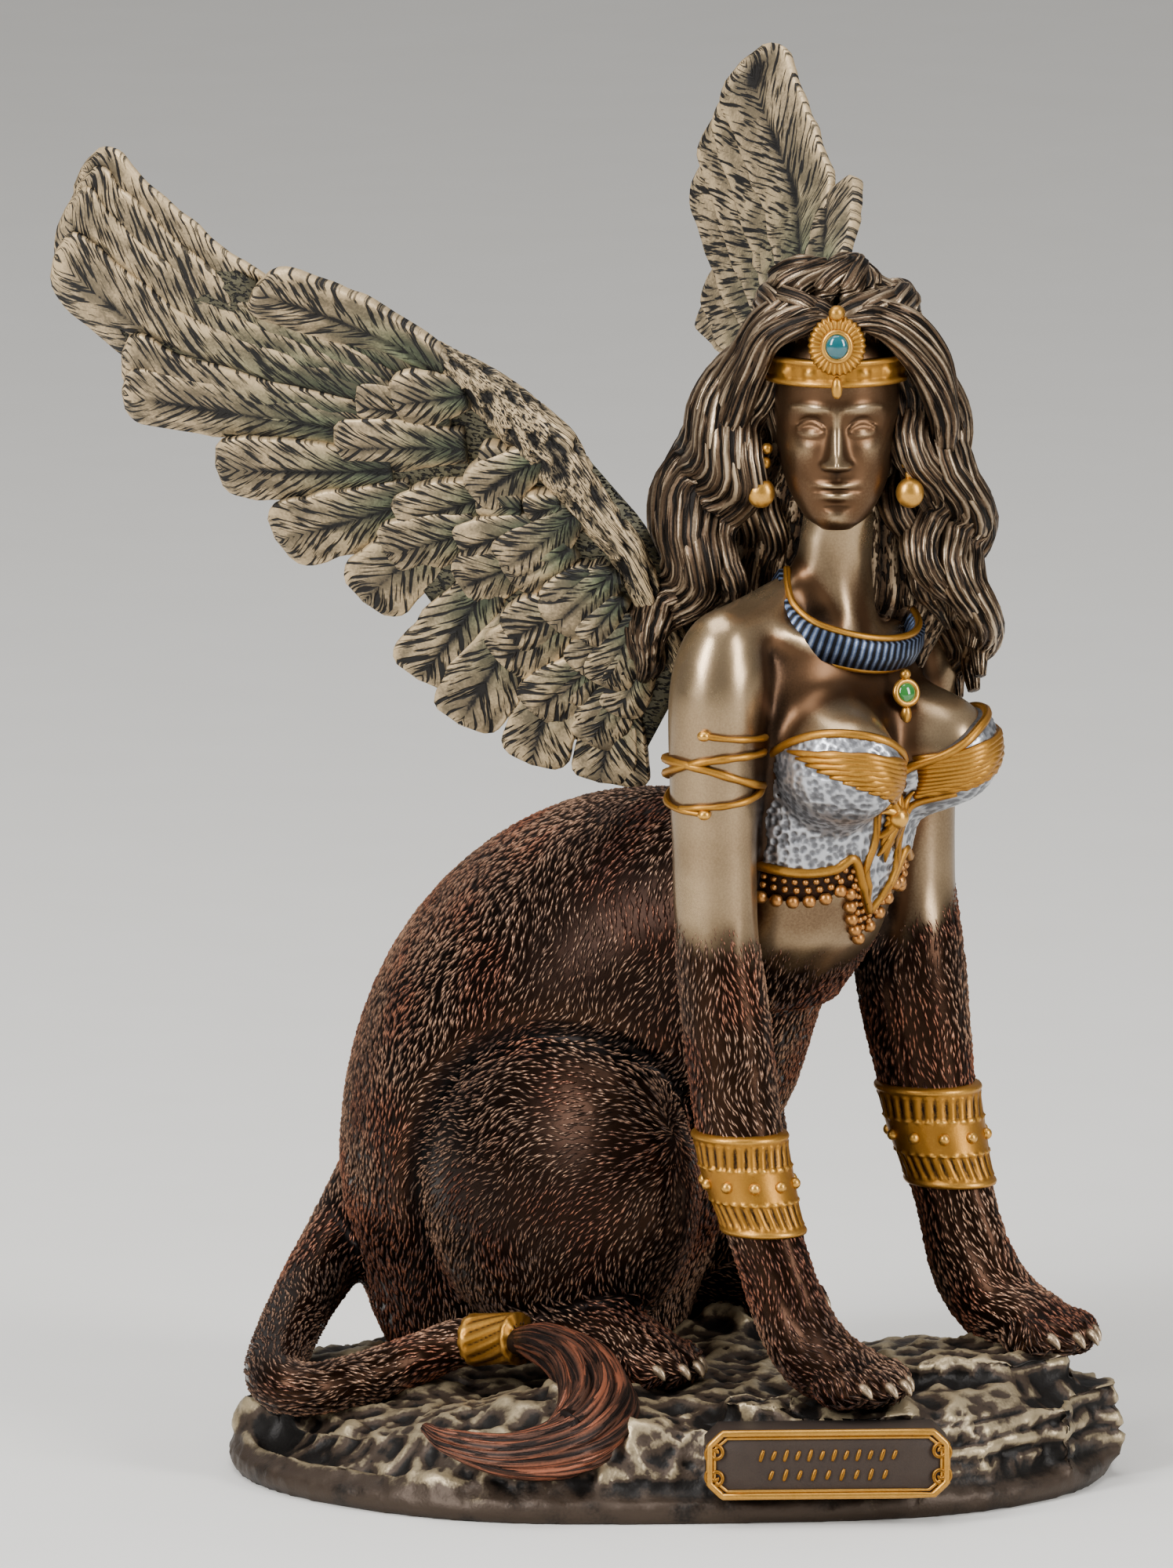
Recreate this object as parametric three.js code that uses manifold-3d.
// A seated winged sphinx cast in one with its rock base, and two wings cast apart and set into her back.
// Millimetres, +Z up, the chest faces -Y, x = 0 is the figure's own mid-plane, z = 0 is the underside.
import * as THREE from "three";
import { mergeVertices } from "three/addons/utils/BufferGeometryUtils.js";
import Module from "manifold-3d";

const wasm = await Module();
wasm.setup();

// Driving dimensions, in millimetres
const FIGURE_HEIGHT = 200; // from the rock's top to the wing tips
const ROCK_TOP = 18; // height of the rock's top over the underside
const BASE_HALF_WIDTH = 72; // across the side that carries the plaque
const BASE_HALF_DEPTH = 59; // from that side to the far one
const LIP_HEIGHT = 4; // smooth rim round the foot of the rock
const PLAQUE_WIDTH = 39;
const PLAQUE_HEIGHT = 11;
const PLAQUE_PROUD = 1.6; // how far the plaque stands out of the rock
const PLAQUE_FRAME = 1.1; // width of its raised frame
const FRAME_RELIEF = 0.7; // how far the frame and the strokes stand out of the plaque
const TRIM = 0.9; // radius of the corset's gilt edging
const ARMLET = 0.85; // radius of the snake round the right upper arm
const BANGLE_PROUD = 0.8; // how far the wrist cuffs stand out of the fur
const WING_CLEARANCE = 0.35; // glue gap between a wing and the back it is set into

// The figure's tables are in shares: one unit is a two-hundredth of the figure's height.
const UNITS = 200;
const unit = FIGURE_HEIGHT / UNITS;
const DISPLAY_TURN = THREE.MathUtils.degToRad(48); // the plaque and the face look this far to her right
const BASE_CENTRE = new THREE.Vector3(-14 * unit, 0, 0);

// A point of the figure, from shares counted from the rock's top.
function at(x, y, z) {
  return new THREE.Vector3(x * unit, y * unit, ROCK_TOP + z * unit);
}

// A point of the base, u along its plaque side and w away from it.
function onBase(u, w, z) {
  const point = new THREE.Vector3(u, w, z).applyAxisAngle(new THREE.Vector3(0, 0, 1), -DISPLAY_TURN);
  return point.add(BASE_CENTRE);
}

// Makes a solid of a closed three.js geometry.
function solid(geometry) {
  const bare = geometry.clone();
  bare.deleteAttribute("normal");
  bare.deleteAttribute("uv");
  const merged = mergeVertices(bare, 1e-4);
  const position = merged.attributes.position.array;
  const index = merged.index.array;
  const kept = [];
  let volume = 0;
  for (let i = 0; i < index.length; i += 3) {
    const [a, b, c] = [index[i], index[i + 1], index[i + 2]];
    if (a === b || b === c || a === c) continue;
    kept.push(a, b, c);
    const [p, q, r] = [a, b, c].map((n) => new THREE.Vector3().fromArray(position, 3 * n));
    volume += p.dot(q.cross(r));
  }
  if (volume < 0) kept.reverse();
  return new wasm.Manifold(
    new wasm.Mesh({ numProp: 3, vertProperties: position, triVerts: new Uint32Array(kept) }),
  );
}

function join(solids) {
  return solids.reduce((whole, next) => whole.add(next));
}

// Skins a row of rings, each with as many points, and closes both ends to their middles.
function loft(rings) {
  const sides = rings[0].length;
  const points = rings.flat();
  const index = [];
  for (let i = 0; i + 1 < rings.length; i++)
    for (let j = 0; j < sides; j++) {
      const [a, b] = [i * sides + j, i * sides + ((j + 1) % sides)];
      index.push(a, b, b + sides, a, b + sides, a + sides);
    }
  const ends = [rings[0], rings[rings.length - 1]];
  ends.forEach((ring, end) => {
    const middle = ring.reduce((sum, p) => sum.add(p), new THREE.Vector3()).divideScalar(sides);
    const centre = points.push(middle) - 1;
    const first = end ? (rings.length - 1) * sides : 0;
    for (let j = 0; j < sides; j++) {
      const [a, b] = [first + j, first + ((j + 1) % sides)];
      if (end) index.push(a, b, centre);
      else index.push(b, a, centre);
    }
  });
  const geometry = new THREE.BufferGeometry().setFromPoints(points);
  geometry.setIndex(index);
  return geometry;
}

// Sweeps an oval along a smooth curve. A station is [x, y, z, wide, deep] in the figure's shares,
// wide lies along the side direction as far as the curve lets it, and grow thickens the whole.
function limb(stations, { sides = 10, steps = 10, side = [1, 0, 0], grow = 0, place = at } = {}) {
  const path = new THREE.CatmullRomCurve3(
    stations.map(([x, y, z]) => place(x, y, z)),
    false,
    "catmullrom",
  );
  const size = new THREE.CatmullRomCurve3(
    stations.map((s) => new THREE.Vector3(s[3] * unit, (s[4] ?? s[3]) * unit, 0)),
    false,
    "catmullrom",
  );
  const reference = new THREE.Vector3(...side);
  const rings = [];
  for (let i = 0; i <= steps; i++) {
    const along = path.getTangent(i / steps);
    const centre = path.getPoint(i / steps);
    const { x: wide, y: deep } = size.getPoint(i / steps);
    const across = reference.clone().addScaledVector(along, -reference.dot(along)).normalize();
    const up = new THREE.Vector3().crossVectors(along, across);
    const ring = [];
    for (let j = 0; j < sides; j++) {
      const angle = (2 * Math.PI * j) / sides;
      ring.push(
        centre
          .clone()
          .addScaledVector(across, (wide + grow) * Math.cos(angle))
          .addScaledVector(up, (deep + grow) * Math.sin(angle)),
      );
    }
    rings.push(ring);
  }
  return solid(loft(rings));
}

// An egg of half-sizes [a, b, c] shares about a point, turned about Z.
function egg([x, y, z], [a, b, c], { turn = 0, round = 10, rise = 7, grow = 0 } = {}) {
  const ball = new THREE.SphereGeometry(1, round, rise);
  ball.rotateX(Math.PI / 2);
  ball.scale(a * unit + grow, b * unit + grow, c * unit + grow);
  ball.rotateZ(turn);
  const place = at(x, y, z);
  return solid(ball.translate(place.x, place.y, place.z));
}

// The same row of numbers on her left side: x changes sign, the rest stays.
function mirrored(row) {
  return [-row[0], ...row.slice(1)];
}

// Trunk: a woman's torso that flows into a seated lion's body
const TORSO = [
  [0, -2, 58, 16, 15],
  [0, -12, 70, 16, 15],
  [0, -18.5, 80, 15, 13],
  [0, -21.5, 92, 16, 13],
  [0, -21.5, 104, 18.5, 14],
  [0, -20, 113, 20, 12],
  [0, -20, 119.5, 18, 9.4],
  [0, -20.6, 124.5, 11, 7.6],
  [0, -22.5, 130, 6.6, 6.6],
  [0, -24, 141, 6.2, 6.4],
];
const LION_BODY = [
  [0, -12, 77, 14, 12],
  [0, -3, 73, 19, 20],
  [0, 15, 62, 28, 31],
  [0, 33, 46, 32.5, 35],
  [0, 41, 27, 33.5, 33.5],
  [0, 43, 10, 29, 29],
  [0, 42, -4, 24, 24],
];
const HAUNCH = { right: [-20, 18, 28], left: [20, 37, 28], half: [15, 27.5, 27] };
const BREAST = { centre: [-11.3, -34, 101.5], half: [9, 11.2, 10.5] };

function trunk(grow) {
  return join([
    limb(TORSO, { sides: 12, steps: 12, grow }),
    limb(LION_BODY, { sides: 14, steps: 8, grow }),
  ]);
}

function pair(row, make) {
  return join([make(row), make(mirrored(row))]);
}

// Legs: human arms above, furred forelegs below, on lion's paws
const ARM = [
  [-20, -19, 123.5, 4, 4.6],
  [-22.6, -19, 121, 7, 6.8],
  [-24, -18.8, 113.5, 8.3, 8.1],
  [-24.4, -18.4, 100, 7.5, 7.7],
  [-24.2, -18.6, 76, 6.6, 6.9],
  [-24, -20.7, 59, 6.8, 7.2],
  [-23.6, -24, 38, 6.4, 6.8],
  [-23.3, -29, 24, 5.5, 5.9],
  [-23, -34, 12.5, 5.5, 6.2],
  [-23, -40, 6, 6.6, 6],
  [-23, -47, 4.2, 7.2, 4.4],
  [-23, -51, 3, 6, 3],
];
const HIND_FOOT = [
  [-26, 16, 6, 6, 7],
  [-27, 4, 5, 6.5, 7],
  [-28.5, -5, 4, 6.8, 5.2],
  [-29, -12, 2.5, 6.4, 3.6],
];
const TOE = { half: [2.6, 5, 3.5], spread: 4.1, hang: 1.2 };

// Four toes fanned about the middle of a paw.
function toes([x, y, z]) {
  const parts = [];
  for (let i = 0; i < 4; i++) {
    const off = i - 1.5;
    const centre = [x + off * TOE.spread, y + TOE.hang * off * off, z + 3];
    parts.push(egg(centre, TOE.half, { round: 5, rise: 4, turn: -0.12 * off }));
  }
  return join(parts);
}

const LEFT_FOOT_BACK = 22; // her left hind foot is drawn in under the body
const LEFT_ARM_UP = 2; // her left paw stands on a ledge
const paws = { front: [-23, -52.5, 0], hind: [-29, -13, -1] };

const ELBOW = { z: 60, spread: 22, full: 1.9 }; // how much fuller her left arm is at the elbow
const HEEL = { z: 15, spread: 11, full: 1.4 }; // and at the wrist, toward the back

// The same arm on her left side, a ledge higher, fuller on its inner side at the elbow and the wrist.
function leftArm() {
  return ARM.map(([x, y, z, wide, deep]) => {
    const elbow = ELBOW.full * Math.exp(-(((z - ELBOW.z) / ELBOW.spread) ** 2));
    const heel = HEEL.full * Math.exp(-(((z - HEEL.z) / HEEL.spread) ** 2));
    const up = LEFT_ARM_UP * Math.min(1, (125 - z) / 60);
    return [-x - 0.7 * elbow, y + 0.7 * elbow + heel, z + up, wide + elbow, deep + elbow + heel];
  });
}

function legs() {
  const [fx, fy, fz] = paws.front;
  const [hx, hy, hz] = paws.hind;
  const leftHind = HIND_FOOT.map(([x, y, ...rest]) => [-x - 3, y + LEFT_FOOT_BACK, ...rest]);
  return join([
    limb(ARM, { sides: 8, steps: 11 }),
    limb(leftArm(), { sides: 8, steps: 11 }),
    toes(paws.front),
    toes([-fx, fy, fz + LEFT_ARM_UP]),
    limb(HIND_FOOT, { sides: 7, steps: 4 }),
    limb(leftHind, { sides: 7, steps: 4 }),
    toes(paws.hind),
    toes([-hx - 3, hy + LEFT_FOOT_BACK, hz]),
  ]);
}

// Tail: swings out of the rump, round the left end of the rock and back, then a band and a tuft
const TAIL = [
  [-7, 65, 28, 8],
  [-20, 66, 14, 6.3],
  [-35, 61, 6.5, 5.2],
  [-51, 52, 1.2, 4.9],
  [-63, 43, -1.6, 4.6],
  [-64.5, 35.5, -2.8, 4.4],
  [-55, 33, -2.4, 4.2],
  [-43, 30, 0, 4],
  [-37.5, 24, 3, 3.8],
  [-36.8, 13, 4.6, 3.5],
];
const TAIL_BAND = [
  [-37.2, 21.5, 3.6, 4.3],
  [-36.8, 13.5, 4.8, 4.2],
];
const TUFT = [
  [-36.8, 14, 4.4, 3.8],
  [-38.5, 5, 4.8, 5],
  [-42, -6, 2.6, 6.6],
  [-50, -16, -2, 7.6],
  [-60, -18.5, -6, 7],
  [-68, -13.5, -7, 5.2],
  [-72.5, -5, -5.4, 3.2],
  [-72.8, 1, -3.4, 1.2],
];
const TUFT_FLUTE = 0.16; // how deep the furrows between its strands are, as a share of its radius

// The tuft is one curl whose skin is furrowed from end to end.
function tuft() {
  const path = new THREE.CatmullRomCurve3(TUFT.map(([x, y, z]) => at(x, y, z)), false, "catmullrom");
  const wide = new THREE.CatmullRomCurve3(
    TUFT.map((row) => new THREE.Vector3(row[3] * unit, 0, 0)),
    false,
    "catmullrom",
  );
  const steps = 12;
  const sides = 12;
  const rings = [];
  for (let i = 0; i <= steps; i++) {
    const centre = path.getPoint(i / steps);
    const across = new THREE.Vector3(0, 0, 1).cross(path.getTangent(i / steps)).normalize();
    const radius = wide.getPoint(i / steps).x;
    const ring = [];
    for (let j = 0; j < sides; j++) {
      const angle = (2 * Math.PI * j) / sides;
      const out = radius * (j % 2 ? 1 - TUFT_FLUTE : 1 + TUFT_FLUTE);
      const point = centre.clone().addScaledVector(across, out * Math.cos(angle));
      point.z += 0.72 * out * Math.sin(angle);
      ring.push(point);
    }
    rings.push(ring);
  }
  return solid(loft(rings));
}

function tail() {
  return join([
    limb(TAIL, { sides: 7, steps: 17 }),
    limb(TAIL_BAND, { sides: 8, steps: 1 }),
    tuft(),
  ]);
}

// Head, turned to look out over the plaque, and its hair
const HEAD = { x: 0, y: -23, turn: -DISPLAY_TURN };

// A place beside the head's middle: side to her left, back away from the face.
function byHead(side, back, z) {
  const turned = new THREE.Vector3(side, back, 0).applyAxisAngle(new THREE.Vector3(0, 0, 1), HEAD.turn);
  return at(HEAD.x + turned.x, HEAD.y + turned.y, z);
}

const SKULL = [
  [0, -8, 138.6, 2.4, 2],
  [0, -6.4, 141, 5.4, 5],
  [0, -3.4, 146, 8.2, 8.6],
  [0, -0.8, 153, 9.8, 11],
  [0, 0, 160, 10.6, 12.2],
  [0, 0.4, 167, 10, 11.8],
  [0, 0.6, 172, 6.8, 8.6],
  [0, 0.6, 174.4, 2, 3],
];
const NOSE = [
  [0, -11.2, 157, 0.8, 1],
  [0, -12.2, 152, 1.1, 1.3],
  [0, -12.6, 149.6, 1.9, 1.4],
  [0, -10.8, 148.4, 1.6, 1],
];
const BROW = [
  [-7, -8.8, 157.4, 0.5, 0.8],
  [-4, -11, 158.4, 1, 1],
  [0, -11.6, 157.2, 1, 1],
  [4, -11, 158.4, 1, 1],
  [7, -8.8, 157.4, 0.5, 0.8],
];
const LIPS = [
  [-3.2, -9.9, 145.2, 0.4, 0.4],
  [0, -11.1, 145.4, 1.1, 1.3],
  [3.2, -9.9, 145.2, 0.4, 0.4],
];

function head() {
  const turned = new THREE.Vector3(1, 0, 0).applyAxisAngle(new THREE.Vector3(0, 0, 1), HEAD.turn);
  const options = { place: byHead, side: turned.toArray() };
  const upright = { ...options, side: [0, 0, 1] };
  return join([
    limb(SKULL, { ...options, sides: 11, steps: 8 }),
    limb(NOSE, { ...options, sides: 5, steps: 3 }),
    limb(BROW, { ...upright, sides: 4, steps: 6 }),
    limb(LIPS, { ...upright, sides: 4, steps: 4 }),
  ]);
}

// Locks fall from the crown round the sides and the back of the head and end in curls.
// A lock is [bearing from the face in degrees, spread at its end, length, phase of its waves].
const LOCKS = [
  [-72, 22, 42, 0],
  [-88, 29, 52, 2],
  [-104, 32, 62, 3.4],
  [-135, 27, 62, 5],
  [-165, 22, 58, 1],
  [160, 20, 58, 4],
  [130, 24, 62, 0.6],
  [102, 25, 60, 2.2],
  [82, 22, 50, 3.8],
];
const LOCK_RADIUS = 4.8;
const LOCK_SWAY = 3;
const CROWN_ROLLS = 5;
const LOCK_ROOT = 171; // height at which the locks leave the crown
// The dark mass under the locks, from the crown down to the shoulders.
const HAIR_CORE = [
  [0, 1, 176, 4, 4],
  [0, 2, 172, 10.5, 11],
  [0, 4.5, 164, 13.5, 11],
  [-0.5, 7, 152, 17.5, 10],
  [-2, 8.5, 138, 22, 9],
  [-3.5, 9.5, 126, 24.5, 7.5],
  [-4.5, 8, 114, 22, 4.5],
];
const HAIR_KNOT = [
  [-6, 0, 175.5, 2.4],
  [-3.5, -3.4, 178.6, 3.2],
  [2.6, -3.4, 179, 3.2],
  [5.6, 1, 176, 2.4],
];

function lock([bearing, spread, length, phase]) {
  const angle = THREE.MathUtils.degToRad(bearing);
  const rows = [];
  const joints = 7;
  const start = 11.5;
  for (let i = 0; i <= joints; i++) {
    const share = i / joints;
    const out = i ? start + (spread - start) * share ** 0.7 : start / 1.5;
    const sway = LOCK_SWAY * share * Math.sin(phase + share * 4.4 * Math.PI);
    const side = Math.sin(angle) * out + Math.cos(angle) * sway;
    const back = 1 - Math.cos(angle) * out * 0.85 + Math.sin(angle) * sway + 4 * share;
    const thick = LOCK_RADIUS * (1.05 - 0.7 * share * share);
    rows.push([side, back, LOCK_ROOT - length * share, thick, thick * 0.8]);
  }
  return limb(rows, { sides: 5, steps: 7, side: [0, 1, 0], place: byHead });
}

function hair(grow) {
  const turned = new THREE.Vector3(1, 0, 0).applyAxisAngle(new THREE.Vector3(0, 0, 1), HEAD.turn);
  const mass = limb(HAIR_CORE, { sides: 10, steps: 7, side: turned.toArray(), place: byHead, grow });
  if (grow) return mass;
  const parts = [mass, ...LOCKS.map(lock)];
  for (let i = 0; i < CROWN_ROLLS; i++) {
    const angle = ((i - (CROWN_ROLLS - 1) / 2) / (CROWN_ROLLS - 1)) * 2.3;
    const [s, c] = [Math.sin(angle), Math.cos(angle)];
    const roll = [
      [11 * s, -9 * c, 170.5, 2.4, 2.2],
      [9 * s, -7 * c, 174.6, 2.8, 2.6],
      [5 * s, -2 * c, 177.2, 2.4, 2.2],
    ];
    parts.push(limb(roll, { sides: 5, steps: 3, place: byHead }));
  }
  parts.push(limb(HAIR_KNOT, { sides: 6, steps: 5, place: byHead }));
  return join(parts);
}

// Dress: headband, earrings, collar, corset edging, bead fringe, cuffs and armlet
// A point on the torso's skin at a height and an angle from her breastbone, in shares.
function onTorso(angle, z, out = 0) {
  const rows = TORSO;
  let i = 0;
  while (i + 2 < rows.length && rows[i + 1][2] < z) i++;
  const share = (z - rows[i][2]) / (rows[i + 1][2] - rows[i][2]);
  const [y, wide, deep] = [1, 3, 4].map((n) => rows[i][n] + share * (rows[i + 1][n] - rows[i][n]));
  let point = [(wide + out) * Math.sin(angle), y - (deep + out) * Math.cos(angle), z];
  for (const side of [1, -1]) {
    const [bx, by, bz] = [side * BREAST.centre[0], BREAST.centre[1], BREAST.centre[2]];
    const [a, b, c] = BREAST.half.map((h) => h + out);
    const inside = 1 - ((point[0] - bx) / a) ** 2 - ((z - bz) / c) ** 2;
    if (inside > 0) point = [point[0], Math.min(point[1], by - b * Math.sqrt(inside)), z];
  }
  return point;
}

// A round cord laid on the torso through rows of [angle in degrees, z].
function trimOnTorso(rows, radius, steps) {
  const line = new THREE.CatmullRomCurve3(
    rows.map(([angle, z]) => new THREE.Vector3(angle, z, 0)),
    false,
    "catmullrom",
  );
  const stations = line.getPoints(steps).map(({ x, y }) => {
    return [...onTorso(THREE.MathUtils.degToRad(x), y, 0.2), radius / unit];
  });
  return limb(stations, { sides: 4, steps, side: [0, 0, 1] });
}

// Right halves of the corset's edges, from under the arm to the breastbone.
const NECKLINE = [[-78, 103], [-50, 107.5], [-28, 106.5], [-12, 101], [0, 96.5]];
const HEMLINE = [[-88, 84], [-60, 83], [-38, 83.5], [-26, 85], [-14, 80], [0, 75.5]];

function bothSides(rows) {
  return [...rows, ...rows.slice(0, -1).reverse().map(mirrored)];
}

function dress() {
  return join([
    trimOnTorso(bothSides(NECKLINE), TRIM, 20),
    trimOnTorso(bothSides(HEMLINE), TRIM, 16),
  ]);
}

const EARRING = { side: 10.6, back: -3.4 }; // places beside the head's middle
// Rows of an earring: how far outside its hook, height and radius.
const EARRING_DROP = [[0, 152.5, 1], [0.6, 148, 1.1], [1.2, 146, 2.3], [1.2, 143.4, 2.3]];

function jewellery() {
  const collar = [];
  for (let i = 0; i <= 12; i++) {
    const angle = THREE.MathUtils.degToRad(-115 + (230 * i) / 12);
    const z = 119.5 - 5.5 * Math.cos(angle);
    collar.push([12.5 * Math.sin(angle), -21 - 12.2 * Math.cos(angle) + 0.2 * (119 - z), z, 2.6, 1.4]);
  }
  const turned = new THREE.Vector3(1, 0, 0).applyAxisAngle(new THREE.Vector3(0, 0, 1), HEAD.turn);
  const options = { place: byHead, side: turned.toArray() };
  const band = [[0, 0.2, 162.4, 11.4, 12.8], [0, 0.2, 166.4, 11.2, 12.6]];
  const medallion = [[0, -9, 170, 4.2, 4.6], [0, -14, 169.3, 3.9, 4.3], [0, -14.8, 169.2, 2.2, 2.6]];
  const parts = [
    limb(collar, { sides: 4, steps: 12, side: [0, -0.35, 1] }),
    limb(band, { ...options, sides: 14, steps: 1 }),
    limb(medallion, { ...options, sides: 10, steps: 2 }),
  ];
  for (const side of [-1, 1]) {
    const drop = EARRING_DROP.map(([out, z, radius]) => {
      return [side * (EARRING.side + out), EARRING.back, z, radius];
    });
    parts.push(limb(drop, { ...options, sides: 6, steps: 5 }));
  }
  parts.push(egg([0, -33.6, 111.6], [1.8, 1.6, 2.1], { round: 6, rise: 4 }));
  return join(parts);
}

const CUFF = { high: 41, low: 26 };

// A cuff round a foreleg between two heights: two rims and a proud belt, from one stepped skin.
function cuff(rows, high, low) {
  const curve = (points) => new THREE.CatmullRomCurve3(points, false, "catmullrom");
  const path = curve(rows.map(([x, y, z]) => new THREE.Vector3(x, y, z)));
  const size = curve(rows.map((row) => new THREE.Vector3(row[3], row[4], 0)));
  const span = high - low;
  const steps = [
    [high + 0.6, 1.7], [high - 0.8, 1.7], [high - 1, 0.9], [high - 0.3 * span, 0.9],
    [high - 0.32 * span, 1.5], [low + 0.32 * span, 1.5], [low + 0.3 * span, 0.9], [low + 1, 0.9],
    [low + 0.8, 1.7], [low - 0.6, 1.7],
  ];
  const sides = 10;
  const rings = steps.map(([z, proud]) => {
    let [above, below] = [0, 1];
    for (let i = 0; i < 24; i++) {
      const middle = (above + below) / 2;
      if (path.getPoint(middle).z > z) above = middle;
      else below = middle;
    }
    const centre = path.getPoint(above);
    const { x: wide, y: deep } = size.getPoint(above);
    const ring = [];
    for (let j = 0; j < sides; j++) {
      const angle = (2 * Math.PI * j) / sides;
      const out = (proud * BANGLE_PROUD) / unit;
      ring.push(at(centre.x + (wide + out) * Math.cos(angle), centre.y + (deep + out) * Math.sin(angle), z));
    }
    return ring;
  });
  return solid(loft(rings));
}

function armlet() {
  const rows = [];
  const turns = 2.5;
  const joints = 24;
  for (let i = 0; i <= joints; i++) {
    const share = i / joints;
    const angle = -2.4 + share * turns * 2 * Math.PI;
    const z = 105.5 - 14.5 * share + 1.6 * Math.sin(angle * 1.5);
    rows.push([-24.3 + 7.7 * Math.sin(angle), -18.5 - 7.9 * Math.cos(angle), z, ARMLET / unit]);
  }
  return limb(rows, { sides: 3, steps: 26, side: [0, 0, 1] });
}

// Rock base, its ledges and the name plaque
// The outline in shares of the half sizes: a flat plaque side, round ends and a fuller far side.
const OUTLINE = [
  [1, -0.04], [0.9, -0.44], [0.6, -0.76], [0.1, -0.87], [-0.45, -0.84], [-0.84, -0.5], [-1, -0.05],
  [-0.93, 0.5], [-0.62, 0.95], [-0.15, 1.1], [0.35, 0.88], [0.74, 0.54], [0.95, 0.26],
];
const ROCK_SIDES = 32;
const LEFT_SLOPE = 7; // how far the rock falls away at its left end
const APRON = { u: -0.6, w: -0.8, reach: 1.4 }; // the side where it slopes gently, under the tuft

function rock() {
  const outline = new THREE.CatmullRomCurve3(
    OUTLINE.map(([u, w]) => new THREE.Vector3(u * BASE_HALF_WIDTH, w * BASE_HALF_DEPTH, 0)),
    true,
    "catmullrom",
  );
  // Each level is a height and an inset from the outline, in millimetres.
  const levels = [
    [0, 1], [LIP_HEIGHT / 2, 0], [LIP_HEIGHT, 0.6], [LIP_HEIGHT + 1, 1.8],
    [0.6 * ROCK_TOP, 2.4], [0.85 * ROCK_TOP, 4.5], [ROCK_TOP - 0.6, 7.5], [ROCK_TOP, 12],
  ];
  const rings = levels.map(([height, inset], level) => {
    const ring = [];
    for (let j = 0; j < ROCK_SIDES; j++) {
      const p = outline.getPoint(j / ROCK_SIDES);
      const apron = Math.max(0, p.x * APRON.u + p.y * APRON.w) / p.length();
      const rough = level > 3 ? 1.3 * Math.sin(5 * j + 2.1 * level) + Math.sin(2.3 * j * level) : 0;
      const slope = level > 4 ? LEFT_SLOPE * Math.max(0, -p.x / BASE_HALF_WIDTH - 0.35) : 0;
      p.setLength(p.length() - inset * (level > 3 ? 1 + APRON.reach * apron ** 3 : 1) + rough);
      ring.push(onBase(p.x, p.y, height - slope));
    }
    return ring;
  });
  return solid(loft(rings));
}

// A ledge is its middle and its half sizes in shares of the base's half width and half depth, its foot as
// a share of the rock's height, how far its top stands over the rock's, in millimetres, and its turn.
const LEDGES = [
  [0.67, -0.15, 0.25, 0.21, 0.33, 4, 0.25],
  [0.75, -0.29, 0.19, 0.17, 0.22, -2, -0.35],
  [0.83, -0.07, 0.17, 0.22, 0.17, -1.5, 0.2],
  [-0.83, 0.03, 0.17, 0.25, 0.17, -5, 0.1],
  [0.37, -0.69, 0.19, 0.09, 0.28, -0.4, -0.06],
  [0.19, -0.68, 0.11, 0.1, 0.33, 1.8, 0.3],
  [0.25, 0.58, 0.18, 0.14, 0.33, 2.4, 0.2],
  [-0.17, -0.44, 0.125, 0.12, 0.33, 1.2, 0.5],
];

// One weathered slab: a low block with seven cut corners.
function ledge([along, away, half, halfAway, foot, proud, turn]) {
  const [u, w] = [along * BASE_HALF_WIDTH, away * BASE_HALF_DEPTH];
  const [long, broad] = [half * BASE_HALF_WIDTH, halfAway * BASE_HALF_DEPTH];
  const [low, high] = [foot * ROCK_TOP, ROCK_TOP + proud];
  const corners = 7;
  const rings = [[low, 1], [high - 1.2, 1], [high, 0.86]].map(([z, share]) => {
    const ring = [];
    for (let j = 0; j < corners; j++) {
      const angle = (2 * Math.PI * (j + 0.5)) / corners;
      const rough = 1 + 0.09 * Math.sin(7 * j + u);
      const [a, b] = [long * share * rough * Math.cos(angle), broad * share * rough * Math.sin(angle)];
      const [c, s] = [Math.cos(turn), Math.sin(turn)];
      ring.push(onBase(u + a * c - b * s, w + a * s + b * c, z));
    }
    return ring;
  });
  return solid(loft(rings));
}

// The plaque's middle as shares of the base's half width and of the rock's height, and its turn.
const PLAQUE_PLACE = { along: 0.347, high: 0.578, turn: 3 };
const PLAQUE_SIDE = -0.875; // where the rock's flat side is, in half depths
const PLAQUE_STROKES = 7;
const PLAQUE_SINK = 10; // how far the slab runs back into the rock

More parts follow.
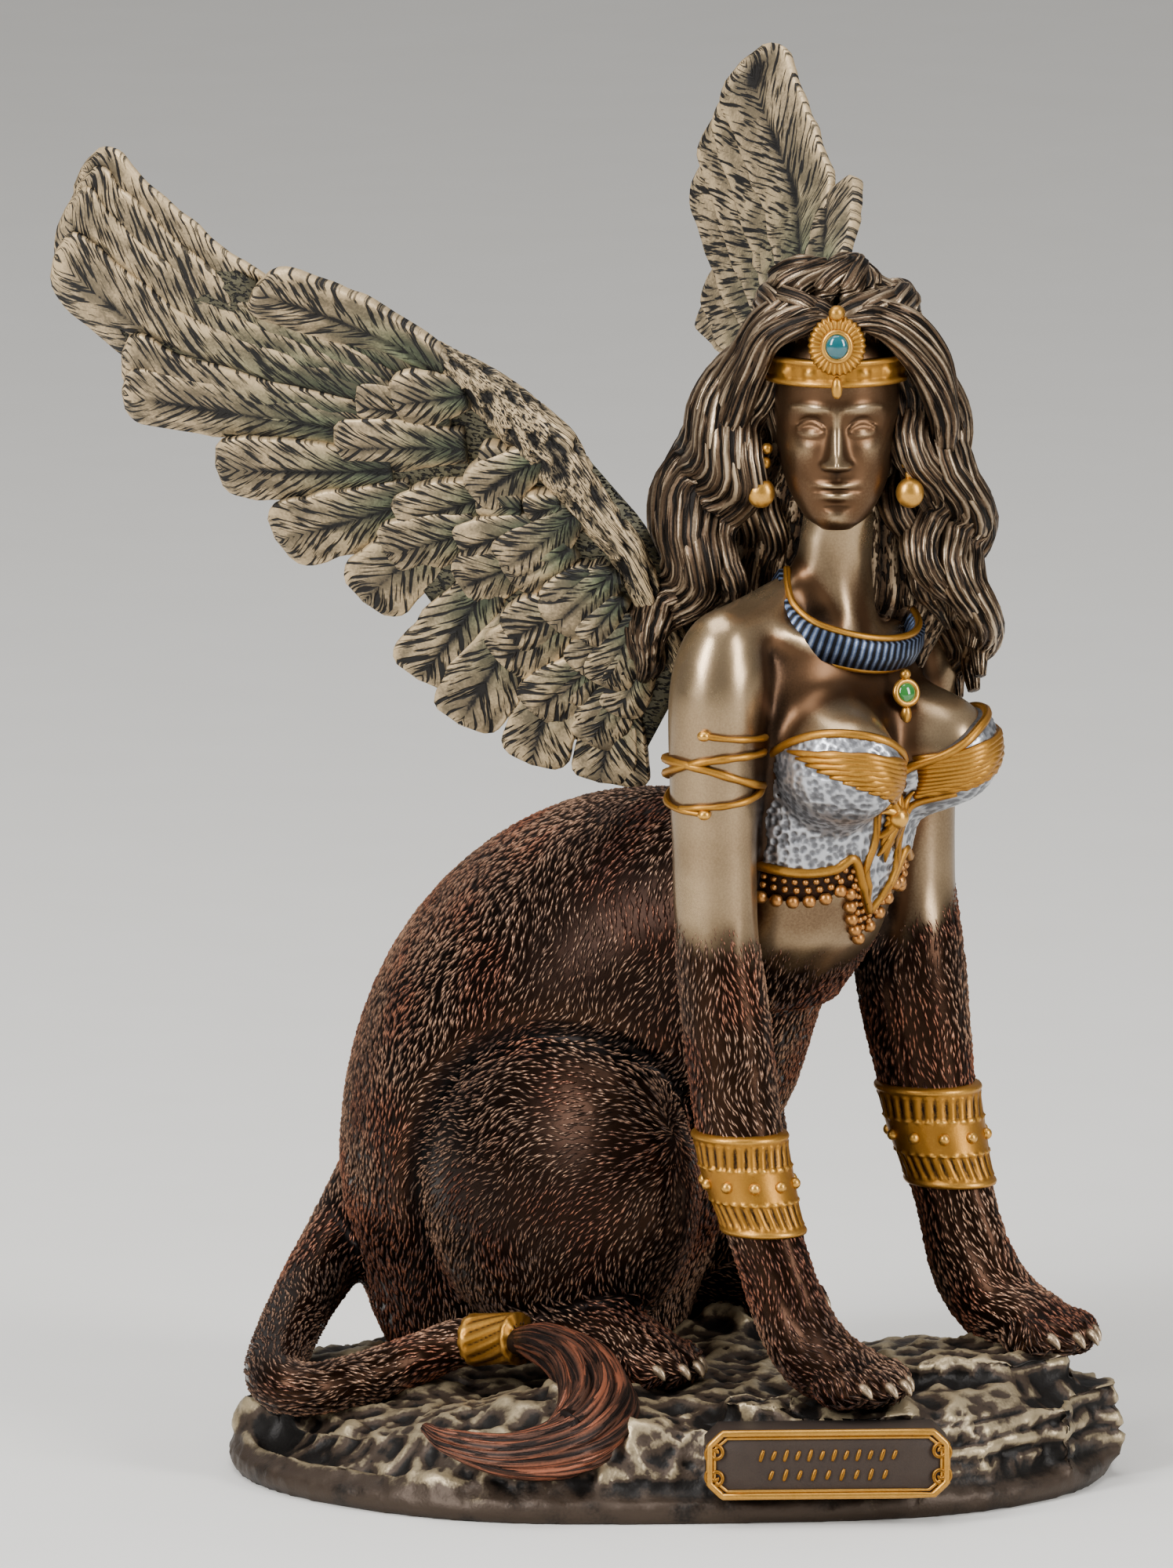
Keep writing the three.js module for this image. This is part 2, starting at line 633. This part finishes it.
function plaque() {
  const shape = new THREE.Shape();
  const [w, h, cut] = [PLAQUE_WIDTH / 2, PLAQUE_HEIGHT / 2, PLAQUE_HEIGHT / 4];
  const corners = [
    [-w + cut, -h], [w - cut, -h], [w, -h + cut], [w, h - cut],
    [w - cut, h], [-w + cut, h], [-w, h - cut], [-w, -h + cut],
  ];
  corners.forEach(([x, y], i) => (i ? shape.lineTo(x, y) : shape.moveTo(x, y)));
  shape.closePath();
  const sunk = new THREE.Shape();
  const inner = corners.map(([x, y]) => [x * (1 - PLAQUE_FRAME / w), y * (1 - PLAQUE_FRAME / h)]);
  inner.forEach(([x, y], i) => (i ? sunk.lineTo(x, y) : sunk.moveTo(x, y)));
  sunk.closePath();
  const slab = new THREE.ExtrudeGeometry(shape, { depth: PLAQUE_SINK, bevelEnabled: false });
  const field = new THREE.ExtrudeGeometry(sunk, { depth: 2 * FRAME_RELIEF, bevelEnabled: false });
  field.translate(0, 0, PLAQUE_SINK - FRAME_RELIEF);
  let made = solid(slab).subtract(solid(field));
  for (let i = 0; i < PLAQUE_STROKES; i++) {
    const along = (i - (PLAQUE_STROKES - 1) / 2) / PLAQUE_STROKES;
    const bar = new THREE.BoxGeometry(1, PLAQUE_HEIGHT * 0.42, 1.6 * FRAME_RELIEF);
    bar.rotateZ(i % 2 ? 0.3 : -0.3);
    bar.translate(along * PLAQUE_WIDTH * 0.72, 0, PLAQUE_SINK - FRAME_RELIEF);
    made = made.add(solid(bar));
  }
  return made;
}

// Stands the plaque up, looking away from the rock's flat side.
function placedPlaque() {
  const foot = onBase(
    PLAQUE_PLACE.along * BASE_HALF_WIDTH,
    PLAQUE_SIDE * BASE_HALF_DEPTH - PLAQUE_PROUD,
    PLAQUE_PLACE.high * ROCK_TOP,
  );
  return plaque()
    .translate([0, 0, -PLAQUE_SINK])
    .rotate([90, 0, 0])
    .rotate([0, 0, PLAQUE_PLACE.turn - THREE.MathUtils.radToDeg(DISPLAY_TURN)])
    .translate(foot.toArray());
}

// Wings, drawn here as her left one
// The wing is the ruled sheet between two curves, each row [share of the way to the tip, x, y, z].
const LEADING = [
  [0, 10, -4, 117],
  [0.2, 22, -2, 140],
  [0.36, 33, 5, 155],
  [0.55, 50, 21, 171],
  [0.78, 71, 39, 180],
  [0.93, 79.5, 60, 194.5],
  [1, 80.5, 70.5, 198.8],
];
const TRAILING = [
  [0, 10, 12, 92],
  [0.12, 20, 23, 97],
  [0.25, 31, 33, 108],
  [0.37, 41, 40, 126],
  [0.5, 52, 52, 137],
  [0.72, 71, 67, 158],
  [0.9, 81, 76, 183],
  [1, 80.5, 70.5, 198.8],
];
const FACE_OUT = new THREE.Vector3(0.83, -0.34, -0.43).normalize(); // the way its outer face looks
// A feather is [s and t of its root, s and t of its end, width], s along the wing, t across it.
const FLIGHT = [
  [0.51, 0.24, 0.985, 0.3, 10.5],
  [0.52, 0.3, 0.96, 0.62, 9],
  [0.5, 0.34, 0.9, 0.98, 11],
  [0.5, 0.42, 0.77, 0.93, 10],
  [0.49, 0.46, 0.73, 1.03, 8.6],
  [0.46, 0.53, 0.6, 1, 9.4],
  [0.41, 0.58, 0.49, 1.08, 9.6],
  [0.36, 0.6, 0.37, 1.1, 9.6],
  [0.3, 0.6, 0.28, 1.09, 9.6],
  [0.24, 0.58, 0.22, 1.09, 9.6],
  [0.16, 0.6, 0.12, 1.06, 8.4],
  [0.09, 0.56, 0.04, 1.04, 7.8],
];
const GREATER = [
  [0.5, 0.1, 0.78, 0.06, 8.3],
  [0.46, 0.2, 0.55, 0.42, 6.8],
  [0.42, 0.28, 0.53, 0.62, 7.7],
  [0.36, 0.37, 0.41, 0.74, 7.7],
  [0.28, 0.41, 0.32, 0.74, 7.4],
  [0.2, 0.44, 0.23, 0.8, 7.7],
  [0.13, 0.5, 0.17, 0.88, 7],
  [0.08, 0.4, 0.08, 0.8, 6.6],
];
const LESSER = [
  [0.47, 0.08, 0.52, 0.31, 7.7],
  [0.36, 0.12, 0.38, 0.46, 6.8],
  [0.28, 0.16, 0.3, 0.54, 6.8],
  [0.19, 0.2, 0.21, 0.56, 6.8],
  [0.12, 0.2, 0.11, 0.58, 6.4],
];
const RIDGE = [
  [0.02, 0.2, 4.2],
  [0.14, 0.16, 4.2],
  [0.27, 0.13, 4.2],
  [0.38, 0.09, 4.6],
  [0.46, 0.05, 3.6],
  [0.52, 0.04, 2],
];

// The place on one of the two curves, straight from row to row.
function rowAt(rows, share) {
  let i = 0;
  while (i + 2 < rows.length && rows[i + 1][0] < share) i++;
  const part = (share - rows[i][0]) / (rows[i + 1][0] - rows[i][0]);
  const [from, to] = [rows[i], rows[i + 1]].map(([, x, y, z]) => at(x, y, z));
  return from.lerp(to, part);
}

function onWing(s, t) {
  return rowAt(LEADING, s).lerp(rowAt(TRAILING, s), t);
}

// Each station of a blade is its share of the way and its share of the width.
const LONG_BLADE = [[0, 0.6], [0.45, 0.95], [0.84, 1], [1, 0.45]];
const SHORT_BLADE = [[0, 0.6], [0.72, 1], [1, 0.5]];

// A keeled blade from root to end, bowed along the sheet, with a rounded end.
function feather([rootS, rootT, endS, endT, wide], thick, lift, stations) {
  const [root, end] = [onWing(rootS, rootT), onWing(endS, endT)];
  const run = end.clone().sub(root);
  const rings = stations.map(([share, width], n) => {
    const sheet = onWing(rootS + (endS - rootS) * share, rootT + (endT - rootT) * share);
    const centre = sheet.lerp(root.clone().addScaledVector(run, share), 0.2);
    centre.addScaledVector(FACE_OUT, lift * unit);
    const across = new THREE.Vector3().crossVectors(FACE_OUT, run).normalize();
    const half = (wide * unit * width) / 2;
    const keel = (thick * unit * (n === stations.length - 1 ? 0.5 : 1)) / 2;
    return [[half, 0], [0, keel], [-half, 0], [0, -keel]].map(([a, b]) =>
      centre.clone().addScaledVector(across, a).addScaledVector(FACE_OUT, b),
    );
  });
  return solid(loft(rings));
}

const VANE_EDGE = 0.93; // how far the sheet reaches toward the trailing edge
const VANE_HALF = 1.1; // half its thickness

// The sheet the feathers lie on, thin at both edges.
function vane() {
  const shares = [0.01, 0.12, 0.25, 0.38, 0.5, 0.62, 0.78, 0.92];
  const rings = shares.map((s) => {
    const row = [0.03, 0.45, VANE_EDGE].map((t) => onWing(s, t));
    const middle = [1, -1].map((side) => row[1].clone().addScaledVector(FACE_OUT, side * VANE_HALF * unit));
    return [row[0], middle[0], row[2], middle[1]];
  });
  return solid(loft(rings));
}

function leftWing() {
  const ridge = RIDGE.map(([s, t, radius]) => {
    const place = onWing(s, t);
    return [place.x / unit, place.y / unit, (place.z - ROCK_TOP) / unit, radius, radius * 0.8];
  });
  const peg = [[4, -8, 107, 4, 4.5], [10, -3, 112, 5, 6]];
  return join([
    vane(),
    limb(ridge, { sides: 8, steps: 7, side: [0, 1, 0] }),
    limb(peg, { sides: 8, steps: 1, side: [0, 1, 0] }),
    ...FLIGHT.map((row) => feather(row, 2.6, 0, LONG_BLADE)),
    ...GREATER.map((row) => feather(row, 4.4, 0.2, SHORT_BLADE)),
    ...LESSER.map((row) => feather(row, 5.8, 0.4, SHORT_BLADE)),
  ]);
}

// The largest body of a solid, so that no crumb of a cut stays.
function largest(cut) {
  return cut.decompose().reduce((best, next) => (next.volume() > best.volume() ? next : best));
}

// Assembly
const BRONZE = { color: 0x6b4f36, roughness: 0.42, metalness: 0.85 };
const PATINA = { color: 0x9a8a68, roughness: 0.55, metalness: 0.7 };
const statue = new THREE.Group();

function addPiece(name, whole, finish) {
  const { vertProperties, triVerts, numProp } = whole.getMesh();
  const geometry = new THREE.BufferGeometry();
  const position = new Float32Array((vertProperties.length / numProp) * 3);
  for (let i = 0; i < position.length / 3; i++)
    position.set(vertProperties.subarray(i * numProp, i * numProp + 3), 3 * i);
  geometry.setAttribute("position", new THREE.BufferAttribute(position, 3));
  geometry.setIndex(new THREE.BufferAttribute(triVerts, 1));
  geometry.computeVertexNormals();
  const mesh = new THREE.Mesh(geometry, new THREE.MeshStandardMaterial(finish));
  mesh.name = name;
  statue.add(mesh);
}

const figure = join([
  rock(),
  ...LEDGES.map(ledge),
  placedPlaque(),
  trunk(0),
  egg(HAUNCH.right, HAUNCH.half, { round: 12, rise: 8 }),
  egg(HAUNCH.left, HAUNCH.half, { round: 12, rise: 8 }),
  pair(BREAST.centre, (centre) => egg(centre, BREAST.half, { round: 8, rise: 6 })),
  legs(),
  tail(),
  head(),
  hair(0),
  dress(),
  jewellery(),
  cuff(ARM, CUFF.high, CUFF.low),
  cuff(leftArm(), CUFF.high + LEFT_ARM_UP, CUFF.low + LEFT_ARM_UP),
  armlet(),
]);
addPiece("sphinx_and_rock_base", largest(figure), BRONZE);

const backOff = join([trunk(WING_CLEARANCE), hair(WING_CLEARANCE)]);
const wing = leftWing().subtract(backOff);
addPiece("left_wing", largest(wing.subtract(figure)), PATINA);
addPiece("right_wing", largest(wing.mirror([1, 0, 0]).subtract(figure)), PATINA);

export default statue;
